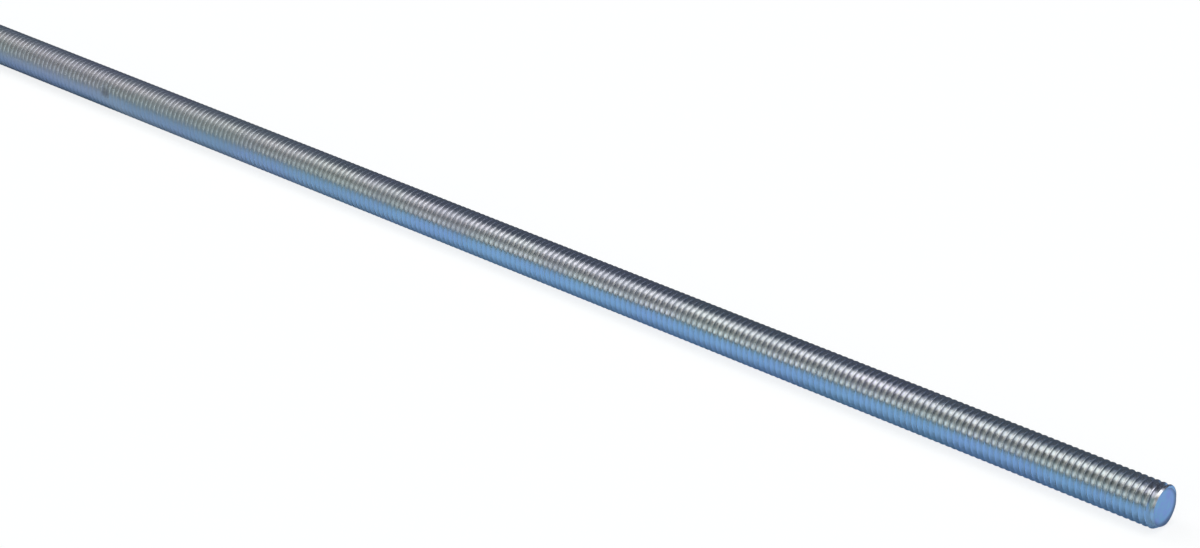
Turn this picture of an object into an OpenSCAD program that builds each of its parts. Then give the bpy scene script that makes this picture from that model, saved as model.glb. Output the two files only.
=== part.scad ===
// A straight length of steel rod with a rolled metric thread from end to end.
// It lies along X with its middle at the origin, and both cut ends are bevelled.
// The thread has its true section along the axis: flat crests, flat roots and
// straight flanks, carried round the rod as one ring for each turn.

/* [Rod] */
// Length over the two cut ends
rod_length = 500; // [50:10:1000]
// Bevel on each cut end, the same along the rod and across it
end_bevel = 0.6; // [0.2:0.05:1]

/* [Thread] */
// Diameter over the crests
crest_diameter = 7.87; // [7:0.01:8.5]
// Distance from one crest to the next
pitch = 1.25; // [0.75:0.05:1.5]
// Angle between the two flanks of a groove
flank_angle = 60; // [50:1:62]
// Height of a crest above the root, as a share of the pitch
height_share = 0.613; // [0.5:0.001:0.65]
// Width of the flat on a crest, as a share of the pitch
crest_share = 0.125; // [0.1:0.005:0.15]

/* [Hidden] */

crest_radius = crest_diameter / 2;
root_radius = crest_radius - height_share * pitch;
flank_run = height_share * pitch * tan(flank_angle / 2);
crest_flat = crest_share * pitch;
root_flat = pitch - crest_flat - 2 * flank_run;
half_length = rod_length / 2;

// Whole turns that reach past both ends before the ends are cut
half_turns = ceil(half_length / pitch) + 1;
round_facets = 72;

// One turn of the outline, as points of radius and place along the rod
function turn(start) = [
    [root_radius, start + root_flat / 2],
    [crest_radius, start + root_flat / 2 + flank_run],
    [crest_radius, start + root_flat / 2 + flank_run + crest_flat],
    [root_radius, start + pitch - root_flat / 2]
];

// Half of the section through the axis, longer than the rod at both ends
module threaded_section() {
    reach = half_turns * pitch;
    outline = [for (i = [-half_turns : half_turns - 1]) each turn(i * pitch)];
    polygon(concat([[0, -reach], [root_radius, -reach]], outline, [[root_radius, reach], [0, reach]]));
}

// The room that the two cut and bevelled ends leave for that section
module end_cuts() {
    polygon([
        [0, -half_length],
        [crest_radius - end_bevel, -half_length],
        [crest_radius, end_bevel - half_length],
        [crest_radius, half_length - end_bevel],
        [crest_radius - end_bevel, half_length],
        [0, half_length]
    ]);
}

module threaded_rod() {
    color([0.72, 0.77, 0.82])
        rotate([0, 90, 0])
            rotate_extrude($fn = round_facets)
                intersection() {
                    threaded_section();
                    end_cuts();
                }
}

threaded_rod();
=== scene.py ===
"""Dresses a zinc plated threaded rod: a rolled helical thread, bevelled cut ends and worn bright plate.

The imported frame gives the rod's place and length. Everything is in metres, with the rod along X.
"""

import logging
import math
from dataclasses import dataclass
from enum import Enum

import bpy
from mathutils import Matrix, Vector


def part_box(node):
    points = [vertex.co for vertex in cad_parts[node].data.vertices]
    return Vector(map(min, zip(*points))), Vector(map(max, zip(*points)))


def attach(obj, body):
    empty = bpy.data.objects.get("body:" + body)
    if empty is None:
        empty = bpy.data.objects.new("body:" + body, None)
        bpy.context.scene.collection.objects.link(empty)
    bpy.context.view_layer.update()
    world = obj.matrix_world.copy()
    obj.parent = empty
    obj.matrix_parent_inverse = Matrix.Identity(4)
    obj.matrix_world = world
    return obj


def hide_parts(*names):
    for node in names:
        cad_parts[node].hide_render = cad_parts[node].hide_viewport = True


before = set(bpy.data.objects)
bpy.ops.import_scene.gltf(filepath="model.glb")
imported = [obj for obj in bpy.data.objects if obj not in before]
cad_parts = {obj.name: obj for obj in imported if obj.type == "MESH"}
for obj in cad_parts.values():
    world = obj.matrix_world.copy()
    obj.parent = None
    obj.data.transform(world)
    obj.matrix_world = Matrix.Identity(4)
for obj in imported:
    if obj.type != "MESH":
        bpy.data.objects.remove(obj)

LOG = logging.getLogger("threaded_rod")
MM = 0.001
NODE = "threaded_rod"
PHOTO_WIDTH = 1200

Color = tuple[float, float, float]
Span = tuple[float, float]
Socket = bpy.types.NodeSocket
Signal = Socket | float
Tint = Socket | Color
Values = dict[str | int, Socket | float | Color | Vector]

WHITE: Color = (1.0, 1.0, 1.0)
BLACK: Color = (0.0, 0.0, 0.0)
RISING: Span = (0.0, 1.0)
FALLING: Span = (1.0, 0.0)
ALONG_X = Vector((1, 0, 0))
ALONG_Y = Vector((0, 1, 0))
ACROSS = Vector((0, 1, 1))
ORIGIN = Vector((0, 0, 0))


class Hand(Enum):
    """Which way a thread winds, as the sign of its advance along X for a positive turn about X."""

    RIGHT = 1
    LEFT = -1


class RodEnd(Enum):
    """A cut end, as the sign of its side along X."""

    OUTER = 1
    INNER = -1


class MeshPart(Enum):
    """What a selection within a mesh is made of, by Blender's name."""

    CORNER = "VERT"
    EDGE = "EDGE"
    FACE = "FACE"


class Ray(Enum):
    """A kind of ray that may see something of its own, by Blender's name."""

    CAMERA = "Is Camera Ray"
    GLOSSY = "Is Glossy Ray"


def deselect_all() -> None:
    """Leave edit mode and deselect every object, so that the next operator acts on its own piece alone."""
    if bpy.context.object and bpy.context.object.mode != "OBJECT":
        bpy.ops.object.mode_set(mode="OBJECT")
    bpy.ops.object.select_all(action="DESELECT")


def pick(piece: bpy.types.Object) -> None:
    """Make one piece the only selected and active object.

    Args:
        piece: The object to act on.
    """
    deselect_all()
    piece.select_set(True)
    bpy.context.view_layer.objects.active = piece


def deselect_mesh(part: MeshPart) -> None:
    """Deselect all of the active piece's mesh and set what the next selection in it is made of.

    Args:
        part: What is selected next.
    """
    bpy.ops.object.mode_set(mode="EDIT")
    bpy.ops.mesh.select_mode(type=part.value)
    bpy.ops.mesh.select_all(action="DESELECT")
    bpy.ops.object.mode_set(mode="OBJECT")


@dataclass
class Wiring:
    """A node tree that is being wired, with short ways to add and join nodes."""

    tree: bpy.types.NodeTree

    def give(self, value: Signal | Tint | Vector, target: Socket) -> None:
        """Join a value's socket to an input, or set the input to a plain value.

        Args:
            value: A socket, a number, a vector or an opaque colour.
            target: The input.
        """
        if isinstance(value, Socket):
            self.tree.links.new(value, target)
        elif target.type == "RGBA":
            target.default_value = (*value, 1.0)
        else:
            target.default_value = value

    def add(self, kind: str, values: Values | None = None, **settings: object) -> bpy.types.Node:
        """Add a node.

        Args:
            kind: The node's type name in Blender.
            values: What its inputs are given, by their name or index.
            settings: Properties of the node itself.

        Returns:
            The new node.
        """
        node = self.tree.nodes.new(kind)
        for name, setting in settings.items():
            setattr(node, name, setting)
        for name, value in (values or {}).items():
            self.give(value, node.inputs[name])
        return node

    def math(self, operation: str, first: Signal, second: Signal = 0.0) -> Socket:
        """Work out a value from one or two others.

        Args:
            operation: The Math node's operation.
            first: A socket or a number.
            second: A socket or a number, where the operation takes two.

        Returns:
            The result's socket.
        """
        return self.add("ShaderNodeMath", {0: first, 1: second}, operation=operation).outputs["Value"]

    def total(self, base: Signal, *shares: tuple[Socket, float]) -> Signal:
        """Add up values, each by its weight, on top of a base.

        Args:
            base: A socket or a number.
            shares: Pairs of a value's socket and its weight.

        Returns:
            The sum's socket.
        """
        for value, weight in shares:
            base = self.math("ADD", base, self.math("MULTIPLY", value, weight))
        return base

    def vector(self, operation: str, first: Socket, second: Socket | Vector) -> bpy.types.Node:
        """Work out a vector or a number from two vectors.

        Args:
            operation: The Vector Math node's operation.
            first: A vector's socket.
            second: A vector or its socket.

        Returns:
            The node, with the outputs Vector and Value.
        """
        return self.add("ShaderNodeVectorMath", {0: first, 1: second}, operation=operation)

    def split(self, vector: Socket) -> tuple[Socket, ...]:
        """Take a vector apart into its X, Y and Z."""
        return tuple(self.add("ShaderNodeSeparateXYZ", {0: vector}).outputs)

    def noise(self, place: Socket, scale: Signal, detail: float, roughness: float = 0.5) -> Socket:
        """Wire a soft noise.

        Args:
            place: The socket with the place where the noise is read.
            scale: About how many blots of it lie in a metre.
            detail: How many layers of finer blots lie on the first.
            roughness: How strong each finer layer is.

        Returns:
            The noise's socket, with values round 0.5.
        """
        values = {"Vector": place, "Scale": scale, "Detail": detail, "Roughness": roughness}
        return self.add("ShaderNodeTexNoise", values).outputs["Fac"]

    def blend(self, share: Signal, first: Tint, second: Tint, mode: str = "MIX") -> Socket:
        """Mix two colours.

        Args:
            share: A socket or a number, 0 for the first colour and 1 for the second.
            first: A colour or a colour socket.
            second: A colour or a colour socket.
            mode: The Mix node's blend type.

        Returns:
            The mixed colour's socket.
        """
        node = self.add("ShaderNodeMix", data_type="RGBA", blend_type=mode)
        for name, kind, value in (("Factor", "VALUE", share), ("A", "RGBA", first), ("B", "RGBA", second)):
            self.give(value, next(s for s in node.inputs if s.name == name and s.type == kind))
        return next(s for s in node.outputs if s.type == "RGBA")

    def spread(self, value: Socket, source: Span, to: Span = RISING) -> Socket:
        """Map a value from one range to another, clamped, with soft ends.

        Args:
            value: The value's socket.
            source: The values that give the two ends.
            to: The two ends.

        Returns:
            The mapped value's socket.
        """
        names = ("Value", "From Min", "From Max", "To Min", "To Max")
        values = dict(zip(names, (value, *source, *to)))
        return self.add("ShaderNodeMapRange", values, interpolation_type="SMOOTHSTEP").outputs["Result"]

    def glowing_matt(self, glow: Tint, strength: Signal, color: Tint) -> Socket:
        """Make a matt surface that also glows.

        Args:
            glow: The colour of its own light.
            strength: How strong that light is.
            color: The surface's colour.

        Returns:
            The shader's socket.
        """
        light = self.add("ShaderNodeEmission", {"Color": glow, "Strength": strength})
        matt = self.add("ShaderNodeBsdfDiffuse", {"Color": color})
        return self.add("ShaderNodeAddShader", {0: light.outputs[0], 1: matt.outputs[0]}).outputs[0]

    def only_for(self, ray: Ray, shader: Socket, others: Socket) -> Socket:
        """Show one shader to one kind of ray.

        Args:
            ray: The kind of ray.
            shader: What rays of this kind see.
            others: What all other rays see.

        Returns:
            The shader's socket.
        """
        path = self.add("ShaderNodeLightPath")
        values = {0: path.outputs[ray.value], 1: others, 2: shader}
        return self.add("ShaderNodeMixShader", values).outputs[0]


@dataclass(frozen=True)
class Effect:
    """A shader node group, used more than once.

    Attributes:
        name: The group's name.
        vectors: Its inputs that take a vector.
        numbers: Its inputs that take a number.
        results: Its outputs, each a number.
    """

    name: str
    vectors: tuple[str, ...]
    numbers: tuple[str, ...]
    results: tuple[str, ...]

    def start(self) -> tuple[Wiring, bpy.types.Node, bpy.types.Node]:
        """Make the empty group.

        Returns:
            Its wiring, its input node and its output node.
        """
        tree = bpy.data.node_groups.new(self.name, "ShaderNodeTree")
        sides = (
            ("INPUT", "NodeSocketVector", self.vectors),
            ("INPUT", "NodeSocketFloat", self.numbers),
            ("OUTPUT", "NodeSocketFloat", self.results),
        )
        for side, kind, names in sides:
            for name in names:
                tree.interface.new_socket(name=name, in_out=side, socket_type=kind)
        wiring = Wiring(tree)
        return wiring, wiring.add("NodeGroupInput"), wiring.add("NodeGroupOutput")

    def use(self, wiring: Wiring, values: Values) -> bpy.types.Node:
        """Put the group to use in a material or another tree.

        Args:
            wiring: The wiring of that tree.
            values: What the group's inputs are given, by name.

        Returns:
            The group node.
        """
        return wiring.add("ShaderNodeGroup", values, node_tree=bpy.data.node_groups[self.name])


MOTTLE = Effect("plate_mottle", ("Place", "Stretch"), ("Patches",), ("Cloud", "Grain"))
TOOL_LINES = Effect("tool_lines", ("Place", "Stretch"), (), ("Lines",))
SMUDGE = Effect("smudge", ("Place", "Centre"), ("Radius",), ("Mask",))
SOFT_PANEL = Effect(
    "soft_panel",
    ("Direction", "Facing", "Across", "Upward"),
    ("Half Width", "Half Height", "Softness"),
    ("Mask",),
)


def build_mottle() -> None:
    """Make the cloudy unevenness of electroplated zinc: a mask of soft patches, and a finer grain."""
    cloud_edge = (0.32, 0.68)
    grain_scale = 9000.0
    wiring, given, result = MOTTLE.start()
    place = given.outputs["Place"]
    stretched = wiring.vector("MULTIPLY", place, given.outputs["Stretch"]).outputs["Vector"]
    cloud = wiring.noise(stretched, given.outputs["Patches"], detail=3.0, roughness=0.55)
    wiring.give(wiring.spread(cloud, cloud_edge), result.inputs["Cloud"])
    grain = wiring.noise(place, grain_scale, detail=2.0, roughness=0.6)
    wiring.give(grain, result.inputs["Grain"])


def build_tool_lines() -> None:
    """Make the fine straight or turned lines that a tool leaves, from noise drawn out by a stretch."""
    wiring, given, result = TOOL_LINES.start()
    stretched = wiring.vector("MULTIPLY", given.outputs["Place"], given.outputs["Stretch"])
    lines = wiring.noise(stretched.outputs["Vector"], 1.0, detail=3.0, roughness=0.7)
    wiring.give(lines, result.inputs["Lines"])


def build_smudge() -> None:
    """Make one dark smudge with a ragged edge round a place on the piece."""
    ragged_scale = 2600.0
    mean_noise = 0.5
    soft_edge = (0.45, 1.1)
    wiring, given, result = SMUDGE.start()
    away = wiring.vector("DISTANCE", given.outputs["Place"], given.outputs["Centre"])
    share = wiring.math("DIVIDE", away.outputs["Value"], given.outputs["Radius"])
    ragged = wiring.noise(given.outputs["Place"], ragged_scale, detail=2.0)
    rough_share = wiring.math("ADD", share, wiring.math("SUBTRACT", ragged, mean_noise))
    wiring.give(wiring.spread(rough_share, soft_edge, FALLING), result.inputs["Mask"])


def build_soft_panel() -> None:
    """Make the mask of one rectangle of light far away, as seen along a direction."""
    least_reach = 0.001
    wiring, given, result = SOFT_PANEL.start()
    reach = {}
    for axis in ("Facing", "Across", "Upward"):
        along = wiring.vector("DOT_PRODUCT", given.outputs["Direction"], given.outputs[axis])
        reach[axis] = along.outputs["Value"]
    ahead = wiring.math("MAXIMUM", reach["Facing"], least_reach)
    mask = wiring.math("GREATER_THAN", reach["Facing"], 0.0)
    for axis, size in (("Across", "Half Width"), ("Upward", "Half Height")):
        place = wiring.math("ABSOLUTE", wiring.math("DIVIDE", reach[axis], ahead))
        inside = wiring.math("SUBTRACT", given.outputs[size], place)
        share = wiring.math("DIVIDE", inside, given.outputs["Softness"])
        mask = wiring.math("MULTIPLY", mask, wiring.spread(share, (-1.0, 1.0)))
    wiring.give(mask, result.inputs["Mask"])


def build_effects() -> None:
    """Build every shared effect once."""
    build_mottle()
    build_tool_lines()
    build_smudge()
    build_soft_panel()


def axis_distance(wiring: Wiring, place: Socket) -> Socket:
    """Measure how far a place is from the rod's axis.

    Args:
        wiring: The material's wiring.
        place: The socket with the place on the piece.

    Returns:
        The distance's socket.
    """
    off_axis = wiring.vector("MULTIPLY", place, ACROSS).outputs["Vector"]
    return wiring.vector("DISTANCE", off_axis, ORIGIN).outputs["Value"]


@dataclass(frozen=True)
class ThreadForm:
    """The outline of one turn of a rolled metric thread along the rod, from which its helix is swept.

    Attributes:
        crest_radius: Radius over the crests.
        pitch: Distance from one crest to the next.
        flank_angle: Angle between the two flanks of a groove.
        height_share: Height of a crest above the root, as a share of the pitch.
        crest_share: Width of the flat on a crest, as a share of the pitch.
        crest_rounding: Radius of the rounding at a crest's edges.
        hand: Which way the thread winds.
    """

    crest_radius: float
    pitch: float = 1.25 * MM
    flank_angle: float = math.radians(60)
    height_share: float = 0.613
    crest_share: float = 0.125
    crest_rounding: float = 0.10 * MM
    hand: Hand = Hand.RIGHT

    @property
    def height(self) -> float:
        """Height of a crest above the root."""
        return self.height_share * self.pitch

    @property
    def root_radius(self) -> float:
        """Radius at the bottom of the groove."""
        return self.crest_radius - self.height

    @property
    def crest_flat(self) -> float:
        """Width of the flat on a crest."""
        return self.crest_share * self.pitch

    @property
    def root_flat(self) -> float:
        """Width of the bottom of the groove."""
        return self.pitch - self.crest_flat - 2 * self.height * math.tan(self.flank_angle / 2)

    def outline(self) -> list[tuple[float, float]]:
        """List the corners of one turn, from one edge of a groove's bottom to the same edge of the next.

        Returns:
            Pairs of place along the rod and radius. A slant takes the place of each edge of the crest, from
            where the rounding starts to where it ends.
        """
        half_crest = self.crest_flat / 2
        half_root = self.root_flat / 2
        middle = self.pitch / 2
        slope = math.pi / 2 - self.flank_angle / 2
        setback = self.crest_rounding * math.tan(slope / 2)
        flank_setback = setback * math.cos(slope)
        flank_top = self.crest_radius - setback * math.sin(slope)
        return [
            (half_root, self.root_radius),
            (middle - half_crest - flank_setback, flank_top),
            (middle - half_crest + setback, self.crest_radius),
            (middle + half_crest - setback, self.crest_radius),
            (middle + half_crest + flank_setback, flank_top),
            (self.pitch - half_root, self.root_radius),
            (self.pitch + half_root, self.root_radius),
        ]


@dataclass(frozen=True)
class Nick:
    """A small dent in the crests, with a dark smudge in it.

    Attributes:
        along: Its place along the rod.
        around: Its place round the rod, where an angle of 0 faces -Y and 90 degrees faces up.
        radius: Its reach.
        depth: How far it is pressed in.
        darkness: Share of the plate that its smudge covers.
    """

    along: float
    around: float
    radius: float
    depth: float
    darkness: float

    def centre(self, rod_radius: float) -> Vector:
        """Give the dent's place on the crests.

        Args:
            rod_radius: Radius over the crests.

        Returns:
            The place.
        """
        across = -rod_radius * math.cos(self.around)
        upward = rod_radius * math.sin(self.around)
        return Vector((self.along, across, upward))


@dataclass(frozen=True)
class Look:
    """The wired colour, roughness and relief of a metal."""

    color: Socket
    roughness: Socket
    relief: Socket


@dataclass(frozen=True, kw_only=True)
class Metal:
    """What every metal finish has, and how its material is built.

    Attributes:
        name: The material's name.
        roughness: Roughness where the plate is at its brightest.
        patches: About how many of the plate's soft patches lie in a metre.
        patch_stretch: What that number is multiplied by along each axis.
        line_stretch: About how many of the tool's lines lie in a metre along each axis.
        relief_strength: How strongly the relief turns the light.
        relief_depth: How deep the relief is.
    """

    name: str
    roughness: float
    patches: float
    patch_stretch: Vector
    line_stretch: Vector
    relief_strength: float
    relief_depth: float

    def look(self, wiring: Wiring, place: Socket) -> Look:
        """Wire what sets the finish apart.

        Args:
            wiring: The material's wiring.
            place: The socket with the place on the piece.

        Returns:
            The wired look.
        """
        raise NotImplementedError

    def material(self) -> bpy.types.Material:
        """Build the material.

        Returns:
            The finished material.
        """
        material = bpy.data.materials.new(self.name)
        material.use_nodes = True
        wiring = Wiring(material.node_tree)
        look = self.look(wiring, wiring.add("ShaderNodeTexCoord").outputs["Object"])
        relief = {"Height": look.relief, "Strength": self.relief_strength, "Distance": self.relief_depth}
        shader = material.node_tree.nodes["Principled BSDF"]
        wiring.give(1.0, shader.inputs["Metallic"])
        wiring.give(look.color, shader.inputs["Base Color"])
        wiring.give(look.roughness, shader.inputs["Roughness"])
        wiring.give(wiring.add("ShaderNodeBump", relief).outputs["Normal"], shader.inputs["Normal"])
        return material

    def mottle(self, wiring: Wiring, place: Socket) -> bpy.types.Node:
        """Wire the plate's patches and grain, as a node with the outputs Cloud and Grain."""
        values = {"Place": place, "Patches": self.patches, "Stretch": self.patch_stretch}
        return MOTTLE.use(wiring, values)

    def lines(self, wiring: Wiring, place: Socket) -> Socket:
        """Wire the tool's lines."""
        return TOOL_LINES.use(wiring, {"Place": place, "Stretch": self.line_stretch}).outputs["Lines"]


@dataclass(frozen=True, kw_only=True)
class PlatedThread(Metal):
    """Bright zinc plate over rolled steel: bluish silver, uneven, and dull in the grooves, whose bottoms
    also carry a painted shade.

    Attributes:
        form: The thread's outline.
        nicks: The dents, each with a dark smudge.
        plate: The plate's colour.
        cool_plate: Its colour in its cooler patches.
        groove: A painted shade, the plate's colour at the bottom of the grooves.
        groove_shade_share: Share of the plate that this painted shade covers there.
        violet_film: What one sort of broad patch does to the colour.
        green_film: What the other sort does.
        film_patches: About how many of the broad patches lie in a metre.
        film_stretch: What that number is multiplied by along each axis.
        smudge_tone: The smudges' colour.
        grain_share: Weight of the grain in the relief, beside the tool's lines.
        cloud_dulling: Roughness that the patches add.
        groove_dulling: Roughness that the bottom of the grooves adds.
        smudge_dulling: Roughness that the smudges add.
        far_dulling: Roughness that the far stretch of the rod adds.
        far_fade: Where along the rod that stretch starts and where it is at its full.
    """

    form: ThreadForm
    nicks: tuple[Nick, ...]
    name: str = "plated_thread"
    plate: Color = (0.85, 0.87, 0.90)
    cool_plate: Color = (0.77, 0.81, 0.87)
    groove: Color = (0.80, 0.81, 0.80)
    groove_shade_share: float = 0.75
    violet_film: Color = (1.00, 0.95, 1.03)
    green_film: Color = (0.97, 1.00, 0.98)
    film_patches: float = 110.0
    film_stretch: Vector = Vector((0.5, 1.0, 1.0))
    smudge_tone: Color = (0.12, 0.12, 0.14)
    patches: float = 260.0
    patch_stretch: Vector = Vector((0.35, 1.0, 1.0))
    line_stretch: Vector = Vector((16000.0, 260.0, 260.0))
    relief_strength: float = 0.25
    relief_depth: float = 0.008 * MM
    grain_share: float = 0.6
    roughness: float = 0.12
    cloud_dulling: float = 0.07
    groove_dulling: float = 0.10
    smudge_dulling: float = 0.3
    far_dulling: float = 0.16
    far_fade: Span = (130 * MM, -10 * MM)

    def look(self, wiring: Wiring, place: Socket) -> Look:
        """Wire the thread's colour, roughness and relief.

        Args:
            wiring: The material's wiring.
            place: The socket with the place on the piece.

        Returns:
            The wired look.
        """
        mottle = self.mottle(wiring, place)
        cloud = mottle.outputs["Cloud"]
        hollow = self.hollow_mask(wiring, place)
        smudged = self.smudges(wiring, place)
        far = wiring.spread(wiring.split(place)[0], self.far_fade)

        color = wiring.blend(cloud, self.plate, self.cool_plate)
        color = wiring.blend(1.0, color, self.film(wiring, place), "MULTIPLY")
        # Painted shade: the bottoms of the grooves are darkened
        color = wiring.blend(wiring.math("MULTIPLY", hollow, self.groove_shade_share), color, self.groove)
        color = wiring.blend(smudged, color, self.smudge_tone)

        rough = wiring.total(
            self.roughness,
            (cloud, self.cloud_dulling),
            (hollow, self.groove_dulling),
            (far, self.far_dulling),
            (smudged, self.smudge_dulling),
        )
        relief = wiring.total(self.lines(wiring, place), (mottle.outputs["Grain"], self.grain_share))
        return Look(color, rough, relief)

    def film(self, wiring: Wiring, place: Socket) -> Socket:
        """Wire the faint colours that broad patches of the plate have.

        Args:
            wiring: The material's wiring.
            place: The socket with the place on the piece.

        Returns:
            The socket with the colour that multiplies the plate's own.
        """
        values = {"Place": place, "Patches": self.film_patches, "Stretch": self.film_stretch}
        broad = MOTTLE.use(wiring, values)
        return wiring.blend(broad.outputs["Cloud"], self.violet_film, self.green_film)

    def hollow_mask(self, wiring: Wiring, place: Socket) -> Socket:
        """Tell root from crest by the distance from the rod's axis.

        Args:
            wiring: The material's wiring.
            place: The socket with the place on the piece.

        Returns:
            A value from 1 at the root to 0 at the crest.
        """
        radius = axis_distance(wiring, place)
        return wiring.spread(radius, (self.form.root_radius, self.form.crest_radius), FALLING)

    def smudges(self, wiring: Wiring, place: Socket) -> Signal:
        """Put a dark smudge into every nick.

        Args:
            wiring: The material's wiring.
            place: The socket with the place on the piece.

        Returns:
            The mask of all the smudges.
        """
        mask: Signal = 0.0
        for nick in self.nicks:
            centre = nick.centre(self.form.crest_radius)
            smudge = SMUDGE.use(wiring, {"Place": place, "Centre": centre, "Radius": nick.radius})
            dark = wiring.math("MULTIPLY", smudge.outputs["Mask"], nick.darkness)
            mask = wiring.math("MAXIMUM", dark, mask)
        return mask


@dataclass(frozen=True, kw_only=True)
class CutFace(Metal):
    """The flat end of the rod, sawn and plated over: fine lines, cloudy bluish plate and a painted shade
    round its edge, broader on one side.

    Attributes:
        plate: The plate's colour.
        dull_plate: Its colour in its duller patches.
        rim_shade: The painted shade at the face's edge.
        shade_free_centre: The middle of the part that the painted shade leaves clear, off the axis so that
            the shade is broader on one side.
        rim_shade_reach: How far from there the painted shade starts and where it is at its full.
        cloud_dulling: Roughness that the patches add.
    """

    name: str = "cut_face"
    plate: Color = (0.73, 0.85, 0.88)
    dull_plate: Color = (0.80, 0.71, 0.94)
    rim_shade: Color = (0.38, 0.34, 0.38)
    shade_free_centre: Vector = Vector((0.0, -0.4, 0.5)) * MM
    rim_shade_reach: Span = (2.5 * MM, 3.5 * MM)
    patches: float = 340.0
    patch_stretch: Vector = Vector((1.0, 1.0, 1.0))
    line_stretch: Vector = Vector((300.0, 500.0, 9000.0))
    relief_strength: float = 0.3
    relief_depth: float = 0.01 * MM
    roughness: float = 0.3
    cloud_dulling: float = 0.1

    def look(self, wiring: Wiring, place: Socket) -> Look:
        """Wire the face's colour, roughness and relief.

        Args:
            wiring: The material's wiring.
            place: The socket with the place on the piece.

        Returns:
            The wired look.
        """
        cloud = self.mottle(wiring, place).outputs["Cloud"]
        # Painted shade: the face darkens towards its edge, more on one side
        from_centre = wiring.vector("SUBTRACT", place, self.shade_free_centre).outputs["Vector"]
        in_rim_shade = wiring.spread(axis_distance(wiring, from_centre), self.rim_shade_reach)
        color = wiring.blend(in_rim_shade, wiring.blend(cloud, self.plate, self.dull_plate), self.rim_shade)
        rough = wiring.total(self.roughness, (cloud, self.cloud_dulling))
        return Look(color, rough, self.lines(wiring, place))


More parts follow.
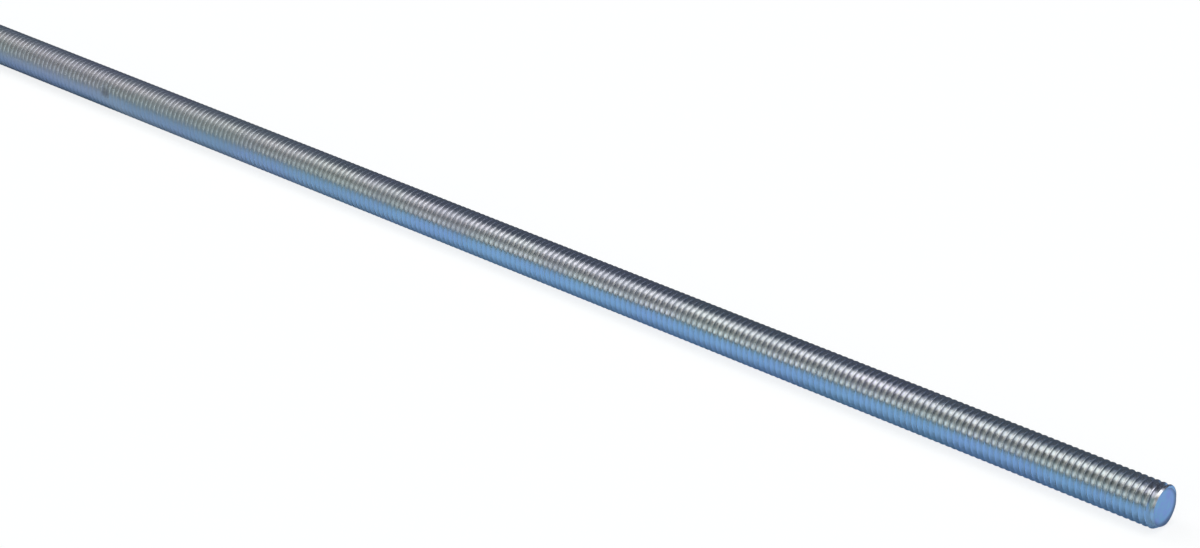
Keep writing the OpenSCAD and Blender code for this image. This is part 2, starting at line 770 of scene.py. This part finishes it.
@dataclass
class ThreadedRod:
    """The object's one piece: a thread swept over its whole length, cut square and bevelled at both ends.

    Attributes:
        half_length: Half the rod's length.
        form: The thread's outline.
        nicks: The dents in its crests.
        bevel_run: Length of a bevel along the rod.
        bevel_drop: How far a bevel comes in from the crests.
        bevel_shift: How far off centre a bevel's edge with the cut face is ground.
        bevel_sides: Sides of the bar of stock that shapes the bevels.
        bevel_slack: How far this bar stands out past the crests.
        bevel_slope: Least and greatest share of X in the normal of a bevel's face.
        bevel_tolerance: How far off the bevel's cone, past its shift, a bevel's face may lie.
        square_on: Least share of X in the normal of a face that is square to the rod.
        steps_per_turn: Steps of the helix in one turn.
        spare_turns: Turns swept past each end before the ends are cut.
        end_phase: Share of a turn by which the helix is moved on, as measured at the outer end.
        merge_distance: Corners closer together than this are one.
        sharp_angle: Edges with a greater angle between their faces stay crisp.
        root_slack: How far above the root a corner still counts as lying on it.
    """

    half_length: float
    form: ThreadForm
    nicks: tuple[Nick, ...] = ()
    bevel_run: float = 0.92 * MM
    bevel_drop: float = 0.44 * MM
    bevel_shift: Vector = Vector((0.0, 0.30, 0.18)) * MM
    bevel_sides: int = 192
    bevel_slack: float = 0.4 * MM
    bevel_slope: Span = (0.3, 0.8)
    bevel_tolerance: float = 0.03 * MM
    square_on: float = 0.999
    steps_per_turn: int = 36
    spare_turns: int = 2
    end_phase: float = 0.27
    merge_distance: float = 0.0005 * MM
    sharp_angle: float = math.radians(40)
    root_slack: float = 0.02 * MM

    def build(self) -> bpy.types.Object:
        """Model, cut and dress the rod.

        Returns:
            The finished piece.
        """
        rod = self.sweep_thread()
        for end in RodEnd:
            self.cut_square(rod, end)
        self.bevel_ends(rod)
        self.dent(rod)
        self.round_edges(rod)
        self.dress(rod)
        return rod

    def sweep_thread(self) -> bpy.types.Object:
        """Draw one turn's outline corner by corner and sweep it along the rod as a helix.

        Returns:
            The thread as an open skin, longer than the rod at both ends.
        """
        turns = math.ceil(2 * self.half_length / self.form.pitch) + 2 * self.spare_turns
        start = (self.end_phase - turns // 2) * self.form.pitch
        deselect_all()
        bpy.ops.mesh.primitive_plane_add(size=self.form.pitch)
        rod = bpy.context.object
        rod.name = "rolled_thread"
        bpy.ops.object.mode_set(mode="EDIT")
        bpy.ops.mesh.select_all(action="SELECT")
        bpy.ops.mesh.merge(type="CENTER")
        corners = [Vector((start + along, 0.0, radius)) for along, radius in self.form.outline()]
        bpy.ops.transform.translate(value=corners[0])
        for last, corner in zip(corners, corners[1:]):
            bpy.ops.mesh.extrude_region_move(TRANSFORM_OT_translate={"value": corner - last})
        bpy.ops.object.mode_set(mode="OBJECT")
        screw = rod.modifiers.new("helix", "SCREW")
        screw.axis = "X"
        screw.angle = 2 * math.pi
        screw.screw_offset = self.form.pitch * self.form.hand.value
        screw.iterations = turns
        screw.steps = screw.render_steps = self.steps_per_turn
        screw.use_merge_vertices = False
        bpy.ops.object.modifier_apply(modifier=screw.name)
        bpy.ops.object.mode_set(mode="EDIT")
        bpy.ops.mesh.select_all(action="SELECT")
        bpy.ops.mesh.remove_doubles(threshold=self.merge_distance)
        bpy.ops.object.mode_set(mode="OBJECT")
        return rod

    def cut_square(self, rod: bpy.types.Object, end: RodEnd) -> None:
        """Cut the thread off square at one end and close the cut.

        Args:
            rod: The swept thread.
            end: The end to cut.
        """
        pick(rod)
        bpy.ops.object.mode_set(mode="EDIT")
        bpy.ops.mesh.select_all(action="SELECT")
        bpy.ops.mesh.bisect(
            plane_co=(end.value * self.half_length, 0.0, 0.0),
            plane_no=(end.value, 0.0, 0.0),
            use_fill=True,
            clear_outer=True,
            threshold=self.merge_distance,
        )
        bpy.ops.mesh.select_all(action="SELECT")
        bpy.ops.mesh.normals_make_consistent(inside=False)
        bpy.ops.object.mode_set(mode="OBJECT")

    def bevel_ends(self, rod: bpy.types.Object) -> None:
        """Take the corner off both ends by keeping the rod inside a bar of stock whose ends taper.

        Args:
            rod: The thread, cut square.
        """
        stock = self.tapered_stock()
        pick(rod)
        keep = rod.modifiers.new("bevelled_ends", "BOOLEAN")
        keep.operation = "INTERSECT"
        keep.solver = "MANIFOLD"
        keep.object = stock
        bpy.ops.object.modifier_apply(modifier=keep.name)
        bpy.data.objects.remove(stock)

    def tapered_stock(self) -> bpy.types.Object:
        """Make a bar as long as the rod and a little thicker, with ends that taper as the bevels do.

        Returns:
            The bar.
        """
        run = self.bevel_run * (1 + self.bevel_slack / self.bevel_drop)
        radius = self.form.crest_radius + self.bevel_slack
        taper = (self.form.crest_radius - self.bevel_drop) / radius
        deselect_all()
        bpy.ops.mesh.primitive_cylinder_add(
            vertices=self.bevel_sides,
            radius=radius,
            depth=2 * (self.half_length - run),
            rotation=(0.0, math.pi / 2, 0.0),
        )
        stock = bpy.context.object
        bpy.ops.object.transform_apply(location=True, rotation=True, scale=True)
        for end in RodEnd:
            deselect_mesh(MeshPart.FACE)
            for face in stock.data.polygons:
                face.select = face.normal.x * end.value > self.square_on
            bpy.ops.object.mode_set(mode="EDIT")
            step = Vector((end.value * run, 0.0, 0.0)) + self.bevel_shift
            bpy.ops.mesh.extrude_region_move(TRANSFORM_OT_translate={"value": step})
            bpy.ops.transform.resize(value=(1.0, taper, taper))
            bpy.ops.object.mode_set(mode="OBJECT")
        return stock

    def dent(self, rod: bpy.types.Object) -> None:
        """Press the nicks into the crests.

        Args:
            rod: The finished form.
        """
        for nick in self.nicks:
            pick(rod)
            deselect_mesh(MeshPart.CORNER)
            centre = nick.centre(self.form.crest_radius)
            for vertex in rod.data.vertices:
                vertex.select = (vertex.co - centre).length < nick.radius
            bpy.ops.object.mode_set(mode="EDIT")
            inward = (-centre * ACROSS).normalized()
            bpy.ops.transform.translate(value=inward * nick.depth)
            bpy.ops.object.mode_set(mode="OBJECT")

    def round_edges(self, rod: bpy.types.Object) -> None:
        """Shade crests and the bottoms of grooves as round, flanks and bevels as flat, cut edges as crisp.

        Args:
            rod: The finished form.
        """
        pick(rod)
        bpy.ops.object.shade_smooth_by_angle(angle=self.sharp_angle)
        for face in rod.data.polygons:
            if self.on_bevel(face):
                face.use_smooth = False
        deselect_mesh(MeshPart.EDGE)
        root = self.form.root_radius + self.root_slack
        inner_bevel = self.half_length - 2 * self.bevel_run
        at_root = [
            math.hypot(vertex.co.y, vertex.co.z) < root and abs(vertex.co.x) < inner_bevel
            for vertex in rod.data.vertices
        ]
        for edge in rod.data.edges:
            edge.select = at_root[edge.vertices[0]] and at_root[edge.vertices[1]]
        bpy.ops.object.mode_set(mode="EDIT")
        bpy.ops.mesh.mark_sharp(clear=True)
        bpy.ops.object.mode_set(mode="OBJECT")
        flank_led = rod.modifiers.new("flat_flanks", "WEIGHTED_NORMAL")
        flank_led.keep_sharp = True
        bpy.ops.object.modifier_apply(modifier=flank_led.name)

    def on_bevel(self, face: bpy.types.MeshPolygon) -> bool:
        """Tell a bevel's face from one of the thread by its slope and its distance from the bevel's cone.

        Args:
            face: A face of the rod.

        Returns:
            Whether the face belongs to a bevel.
        """
        least, greatest = self.bevel_slope
        depth = self.half_length - abs(face.center.x)
        height = math.hypot(face.center.y, face.center.z) - (self.form.crest_radius - self.bevel_drop)
        off_cone = height - depth * self.bevel_drop / self.bevel_run
        sloped = least < abs(face.normal.x) < greatest
        on_cone = abs(off_cone) < self.bevel_shift.length + self.bevel_tolerance
        return sloped and on_cone and depth < 2 * self.bevel_run

    def dress(self, rod: bpy.types.Object) -> None:
        """Give the thread and the two cut faces their finishes.

        Args:
            rod: The finished form.
        """
        rod.data.materials.clear()
        rod.data.materials.append(PlatedThread(form=self.form, nicks=self.nicks).material())
        rod.data.materials.append(CutFace().material())
        for face in rod.data.polygons:
            at_end = abs(face.center.x) > self.half_length - self.bevel_run / 2
            face.material_index = int(at_end and abs(face.normal.x) > self.square_on)


@dataclass(frozen=True)
class SoftPanel:
    """A large soft light of the room: a rectangle with soft edges that the metal shows as a bright band.

    Attributes:
        facing: The direction of its middle, as seen from the rod.
        across: The direction of its width.
        half_width: Half its width, as seen from a distance of 1.
        half_height: Half its height, as seen from a distance of 1.
        softness: Half the width of its soft edge, as seen from a distance of 1.
        color: Its light.
    """

    facing: Vector
    across: Vector
    half_width: float
    half_height: float
    softness: float
    color: Color

    def hang(self, wiring: Wiring, direction: Socket, behind: Socket) -> Socket:
        """Hang the panel in front of what the room has in its direction.

        Args:
            wiring: The world's wiring.
            direction: The socket with the direction of a ray.
            behind: The socket with the room's colour so far.

        Returns:
            The socket with the room's colour, this panel in it.
        """
        facing = self.facing.normalized()
        upward = facing.cross(self.across).normalized()
        values = {
            "Direction": direction,
            "Facing": facing,
            "Across": upward.cross(facing),
            "Upward": upward,
            "Half Width": self.half_width,
            "Half Height": self.half_height,
            "Softness": self.softness,
        }
        return wiring.blend(SOFT_PANEL.use(wiring, values).outputs["Mask"], behind, self.color)


@dataclass(frozen=True)
class Bench:
    """The blue bench that the metal sees under and beside the rod, where the eye sees white ground, with
    painted shadows under and behind the rod.

    Attributes:
        rod_end: The outer end of the rod, along X.
        near_glow: The bench's own light near this end.
        near_color: Its colour there.
        far_glow: Its own light further along the rod.
        far_color: Its colour there.
        near_fade: Where along X the far tones end and the near ones are reached.
        front_tint: What multiplies both in front of the rod.
        front_fade: Where along Y this tint is at its full and where it ends.
        back_edge: Where along Y the bench ends and the wall past it shows.
        shadow_behind_rod: Where along Y a painted shadow behind the rod sets in along the rod's own length,
            in the wall's tone.
        end_fade: Where along X, counted from the rod's end, the painted shadows along the rod stop.
        contact_shadow: Distances from the axis between which the painted shadow under the rod gives way to
            the bench's light.
        open_from: Where along Y the bench is lit again past the rod's end.
    """

    rod_end: float
    near_glow: Color = (0.047, 0.107, 0.21)
    near_color: Color = (0.34, 0.59, 0.90)
    far_glow: Color = (0.043, 0.065, 0.12)
    far_color: Color = (0.25, 0.37, 0.54)
    near_fade: Span = (-40 * MM, 130 * MM)
    front_tint: Color = (0.95, 0.87, 0.68)
    front_fade: Span = (-35 * MM, -7 * MM)
    back_edge: Span = (25 * MM, 60 * MM)
    shadow_behind_rod: Span = (4 * MM, 9 * MM)
    end_fade: Span = (-2 * MM, 1 * MM)
    contact_shadow: Span = (3 * MM, 6 * MM)
    open_from: float = -1 * MM

    def shader(self, wiring: Wiring, wall: Color) -> Socket:
        """Wire the bench as a matt surface that also glows.

        Args:
            wiring: The floor's wiring.
            wall: The colour of the wall past the bench, also used for the painted shadow behind the rod.

        Returns:
            The shader's socket.
        """
        along, across, _ = wiring.split(wiring.add("ShaderNodeTexCoord").outputs["Object"])
        end_fade = (self.rod_end + self.end_fade[0], self.rod_end + self.end_fade[1])
        beside_rod = wiring.spread(along, end_fade, FALLING)

        # Painted shadow behind the rod, in the wall's tone and black; past the back edge the wall itself
        # shows
        painted_shadow_behind = wiring.math("MULTIPLY", wiring.spread(across, self.shadow_behind_rod), beside_rod)
        wall_or_painted_shadow = wiring.math("MAXIMUM", wiring.spread(across, self.back_edge), painted_shadow_behind)

        near = wiring.spread(along, self.near_fade)
        in_front = wiring.spread(across, self.front_fade, FALLING)
        glow = wiring.blend(near, self.far_glow, self.near_glow)
        glow = wiring.blend(in_front, glow, self.front_tint, "MULTIPLY")
        color = wiring.blend(near, self.far_color, self.near_color)
        color = wiring.blend(in_front, color, self.front_tint, "MULTIPLY")

        # Painted shadow: no bench light under the rod along its length, only past its end
        past_end = wiring.math("SUBTRACT", 1.0, beside_rod)
        open_side = wiring.math("GREATER_THAN", across, self.open_from)
        open_ground = wiring.math("MULTIPLY", past_end, open_side)
        outside_contact_shadow = wiring.spread(wiring.math("ABSOLUTE", across), self.contact_shadow)
        strength = wiring.math("MAXIMUM", outside_contact_shadow, open_ground)

        return wiring.glowing_matt(
            glow=wiring.blend(wall_or_painted_shadow, glow, wall),
            strength=strength,
            color=wiring.blend(wall_or_painted_shadow, color, BLACK),
        )


@dataclass(frozen=True)
class Studio:
    """The white room: a pale floor that keeps a soft shadow, dim walls and large soft panels of light.

    Attributes:
        floor_height: The floor's place along Z.
        bench: What the metal sees in the floor.
        floor_size: Length of the floor's sides.
        floor_glow: The floor's own light, as the eye sees it.
        floor_color: The floor's colour, as the eye sees it.
        back_wall: The wall's tone behind the rod.
        front_wall: The wall's tone in front of it.
        wall_turn: Shares of Y in a ray's direction between which the front wall turns into the back wall.
        panels: The panels of light, each in front of those before it.
    """

    floor_height: float
    bench: Bench
    floor_size: float = 60.0
    floor_glow: float = 0.80
    floor_color: Color = (0.42, 0.42, 0.42)
    back_wall: Color = (0.062, 0.076, 0.102)
    front_wall: Color = (0.03, 0.03, 0.02)
    wall_turn: Span = (-0.3, 0.1)
    panels: tuple[SoftPanel, ...] = (
        SoftPanel(Vector((-0.80, -0.38, 0.46)), ALONG_Y, 1.00, 0.50, 0.10, (0.28, 0.42, 0.44)),
        SoftPanel(Vector((-0.70, -0.05, 0.72)), ALONG_Y, 0.30, 0.60, 0.10, (1.00, 1.02, 1.07)),
        SoftPanel(Vector((0.22, -0.87, 0.44)), ALONG_X, 0.38, 0.28, 0.12, (0.76, 0.80, 0.80)),
        SoftPanel(Vector((0.00, -0.68, 0.73)), ALONG_X, 0.12, 0.25, 0.08, (0.28, 0.32, 0.30)),
        SoftPanel(Vector((0.00, -0.94, 0.34)), ALONG_X, 0.12, 0.20, 0.08, (1.15, 1.32, 1.32)),
        SoftPanel(Vector((0.30, -0.50, 0.82)), ALONG_X, 0.28, 0.24, 0.10, (0.34, 0.34, 0.34)),
        SoftPanel(Vector((0.16, 0.58, 0.80)), ALONG_X, 0.22, 0.28, 0.10, (0.42, 0.46, 0.52)),
        SoftPanel(Vector((0.18, 0.03, 0.98)), ALONG_X, 0.34, 0.30, 0.06, (1.48, 1.50, 1.48)),
        SoftPanel(Vector((0.34, -0.33, 0.88)), ALONG_X, 0.09, 0.14, 0.05, (1.28, 1.20, 1.06)),
        SoftPanel(Vector((0.72, 0.05, 0.69)), ALONG_Y, 0.24, 0.14, 0.08, (0.48, 0.43, 0.41)),
        SoftPanel(Vector((0.86, 0.17, 0.48)), ALONG_Y, 0.30, 0.08, 0.06, (0.47, 0.51, 0.52)),
        SoftPanel(Vector((0.94, -0.27, 0.21)), ALONG_Y, 0.16, 0.15, 0.08, (0.33, 0.36, 0.35)),
        SoftPanel(Vector((0.20, 0.74, 0.64)), ALONG_X, 0.16, 0.12, 0.06, (0.20, 0.27, 0.44)),
    )

    def build(self) -> None:
        """Build the floor, the walls' tone and the panels."""
        self.build_floor()
        self.build_surround()

    def build_floor(self) -> None:
        """Lay the floor: white to the eye with the rod's soft shadow, and a blue bench to the metal."""
        deselect_all()
        bpy.ops.mesh.primitive_plane_add(size=self.floor_size, location=(0.0, 0.0, self.floor_height))
        floor = bpy.context.object
        floor.name = "floor"
        material = bpy.data.materials.new("pale_floor")
        material.use_nodes = True
        nodes = material.node_tree.nodes
        nodes.remove(nodes["Principled BSDF"])
        wiring = Wiring(material.node_tree)
        seen = wiring.glowing_matt(WHITE, self.floor_glow, self.floor_color)
        mirrored = self.bench.shader(wiring, self.back_wall)
        surface = wiring.only_for(Ray.GLOSSY, mirrored, seen)
        wiring.give(surface, nodes["Material Output"].inputs["Surface"])
        floor.data.materials.append(material)

    def build_surround(self) -> None:
        """Tone the room: white behind the rod to the eye, dim walls and bright panels to the metal."""
        world = bpy.data.worlds.new("studio")
        bpy.context.scene.world = world
        world.use_nodes = True
        world.node_tree.nodes.clear()
        wiring = Wiring(world.node_tree)
        direction = wiring.add("ShaderNodeTexCoord").outputs["Generated"]
        back = wiring.spread(wiring.split(direction)[1], self.wall_turn)
        tone = wiring.blend(back, self.front_wall, self.back_wall)
        for panel in self.panels:
            tone = panel.hang(wiring, direction, tone)
        room = wiring.add("ShaderNodeBackground", {"Color": tone, "Strength": 1.0}).outputs[0]
        white = wiring.add("ShaderNodeBackground", {"Color": WHITE, "Strength": 1.0}).outputs[0]
        wiring.add("ShaderNodeOutputWorld", {"Surface": wiring.only_for(Ray.CAMERA, white, room)})


@dataclass(frozen=True)
class PhotoCamera:
    """The camera that took the photograph, found from the rod's edges, its thread's spacing and its end.

    Attributes:
        place: Where it stands.
        azimuth: How far it is turned about Z, in degrees.
        elevation: How far it looks down, in degrees.
        focal_pixels: Its focal length in pixels of the photograph.
        sensor_width: Width of its sensor, in Blender's unit for it.
        clip: The nearest and the furthest that it sees.
    """

    place: Vector = Vector((526.7 * MM, -435.0 * MM, 283.6 * MM))
    azimuth: float = 42.63
    elevation: float = 25.48
    focal_pixels: float = 3600.0
    sensor_width: float = 36.0
    clip: Span = (0.01, 200.0)

    def build(self) -> None:
        """Set the camera up as the scene's own."""
        deselect_all()
        bpy.ops.object.camera_add(location=self.place)
        camera = bpy.context.object
        camera.name = "photo_camera"
        camera.rotation_euler = (math.radians(90 - self.elevation), 0.0, math.radians(self.azimuth))
        camera.data.sensor_fit = "HORIZONTAL"
        camera.data.sensor_width = self.sensor_width
        camera.data.lens = self.focal_pixels / PHOTO_WIDTH * self.sensor_width
        camera.data.clip_start, camera.data.clip_end = self.clip
        bpy.context.scene.camera = camera


def main() -> None:
    """Build the camera, the rod and the studio in order, and report the rod, which is the one piece."""
    logging.basicConfig(level=logging.INFO, format="%(name)s: %(message)s")
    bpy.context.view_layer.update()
    _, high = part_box(NODE)
    bpy.context.scene.view_settings.view_transform = "Standard"
    PhotoCamera().build()
    build_effects()

    form = ThreadForm(crest_radius=max(high.z, high.y))
    nicks = (
        Nick(along=-7.8 * MM, around=math.radians(13), radius=1.4 * MM, depth=0.10 * MM, darkness=0.5),
        Nick(along=248.1 * MM, around=math.radians(86), radius=0.90 * MM, depth=0.02 * MM, darkness=0.9),
        Nick(along=249.4 * MM, around=math.radians(88), radius=0.80 * MM, depth=0.02 * MM, darkness=0.9),
    )
    piece = ThreadedRod(half_length=high.x, form=form, nicks=nicks).build()
    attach(piece, "root")
    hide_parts(NODE)
    LOG.info("%s: %d faces", piece.name, len(piece.data.polygons))

    Studio(floor_height=-form.crest_radius, bench=Bench(rod_end=high.x)).build()


if __name__ == "__main__":
    main()
